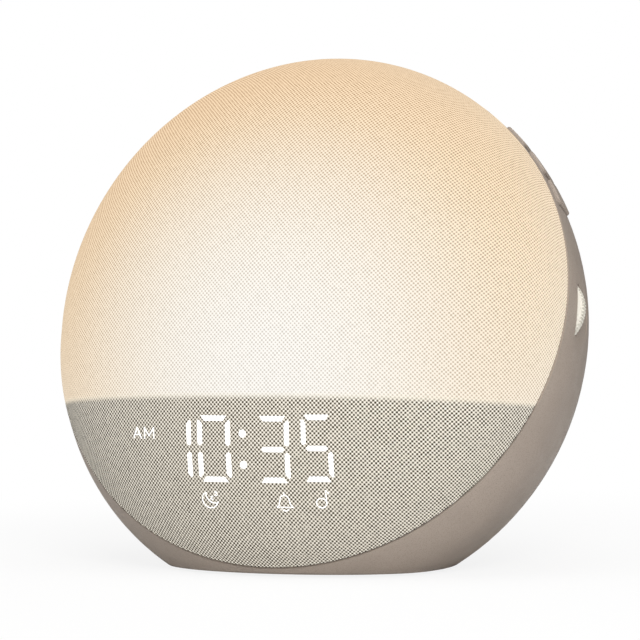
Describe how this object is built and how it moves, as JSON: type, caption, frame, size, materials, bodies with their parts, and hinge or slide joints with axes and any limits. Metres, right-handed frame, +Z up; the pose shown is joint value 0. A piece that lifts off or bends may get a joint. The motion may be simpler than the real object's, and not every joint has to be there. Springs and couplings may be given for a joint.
{
  "type": "sunrise alarm clock",
  "caption": "Round bedside sunrise alarm clock, leaning back on a flat foot, with a fabric-covered light dome, digits behind the fabric, side buttons and a dial.",
  "frame": {"origin": "on the table, middle of the foot pad underside, straight below the centre of the widest section", "axes": "+Z up, the lit front faces -Y and leans back, +X towards the side with the three buttons and the dial"},
  "size_m": [0.1937, 0.1124, 0.1756],
  "materials": {
    "cover_fabric": "open warp knit, matt",
    "diffuser_plastic": "opal, frosted",
    "lens_plastic": "clear white, frosted behind",
    "panel_plastic": "dark moulded, matt",
    "reflector_plastic": "bright white, smooth",
    "circuit_board": "green resist over glass laminate",
    "light_chips": "phosphor yellow",
    "screw_steel": "zinc plated",
    "frame_plastic": "dark moulded, fine spark texture",
    "casing_plastic": "warm grey, fine matt grain",
    "dial_plastic": "cream, fine ribs round the rim",
    "plated_steel": "nickel plated",
    "black_plastic": "moulded",
    "copper_film": "copper on amber film",
    "rubber": "matt",
    "capacitor_can": "sleeved can",
    "cell_steel": "bright",
    "cone_paper": "black pulp",
    "lead_sheath": "soft sheath"
  },
  "bodies": {
    "base": {"backup_cell": "cell_steel", "board_chips": "black_plastic", "board_sockets": "black_plastic", "button_bracket": "frame_plastic", "button_bracket_screws": "screw_steel", "button_flex": "copper_film", "button_lead": "lead_sheath", "button_switches": "black_plastic", "capacitors": "capacitor_can", "casing_screws": "screw_steel", "cell_holder": "black_plastic", "chassis": "frame_plastic", "dial_bracket": "frame_plastic", "dial_bracket_screws": "screw_steel", "dial_encoder": "black_plastic", "dial_lead": "lead_sheath", "digit_lenses": "lens_plastic", "display_board": "circuit_board", "display_board_screws": "screw_steel", "display_lead": "lead_sheath", "display_leds": "light_chips", "display_light_block": "panel_plastic", "display_panel": "panel_plastic", "dome_screws": "screw_steel", "encoder_board": "circuit_board", "fabric_cover": "cover_fabric", "foot_pad": "rubber", "icon_lenses": "lens_plastic", "inlet_board": "circuit_board", "inlet_lead": "lead_sheath", "inlet_screws": "screw_steel", "inlet_socket": "plated_steel", "inlet_tongue": "black_plastic", "led_board": "circuit_board", "led_board_screws": "screw_steel", "light_baffle": "panel_plastic", "light_diffuser": "diffuser_plastic", "light_leds": "light_chips", "light_link": "black_plastic", "main_board": "circuit_board", "main_board_screws": "screw_steel", "radio_shield": "plated_steel", "rear_casing": "casing_plastic", "reflector_tray": "reflector_plastic", "speaker_basket": "plated_steel", "speaker_cone": "cone_paper", "speaker_gasket": "rubber", "speaker_lead": "lead_sheath", "speaker_magnet": "plated_steel", "speaker_screws": "screw_steel", "speaker_surround": "rubber", "voice_coil": "copper_film"},
    "dial": {"dial_wheel": "dial_plastic", "dial_shaft": "plated_steel"},
    "button_1": {"button_1": "casing_plastic", "switch_plunger_1": "black_plastic"},
    "button_2": {"button_2": "casing_plastic", "switch_plunger_2": "black_plastic"},
    "button_3": {"button_3": "casing_plastic", "switch_plunger_3": "black_plastic"}
  },
  "joints": [
    {"name": "button_1_press", "type": "slide", "parent": "base", "child": "button_1", "axis": [-0.6949, -0.3257, -0.6411], "range_m": [0, 0.0006], "stiffness_N_per_m": 1500},
    {"name": "button_2_press", "type": "slide", "parent": "base", "child": "button_2", "axis": [-0.7871, -0.282, -0.5486], "range_m": [0, 0.0006], "stiffness_N_per_m": 1500},
    {"name": "button_3_press", "type": "slide", "parent": "base", "child": "button_3", "axis": [-0.8645, -0.2333, -0.4451], "range_m": [0, 0.0006], "stiffness_N_per_m": 1500},
    {"name": "dial_turn", "type": "hinge", "parent": "base", "child": "dial", "pos_m": [0.08416, 0.00334, 0.08691], "axis": [0, -0.9265, 0.3762], "continuous": true}
  ]
}
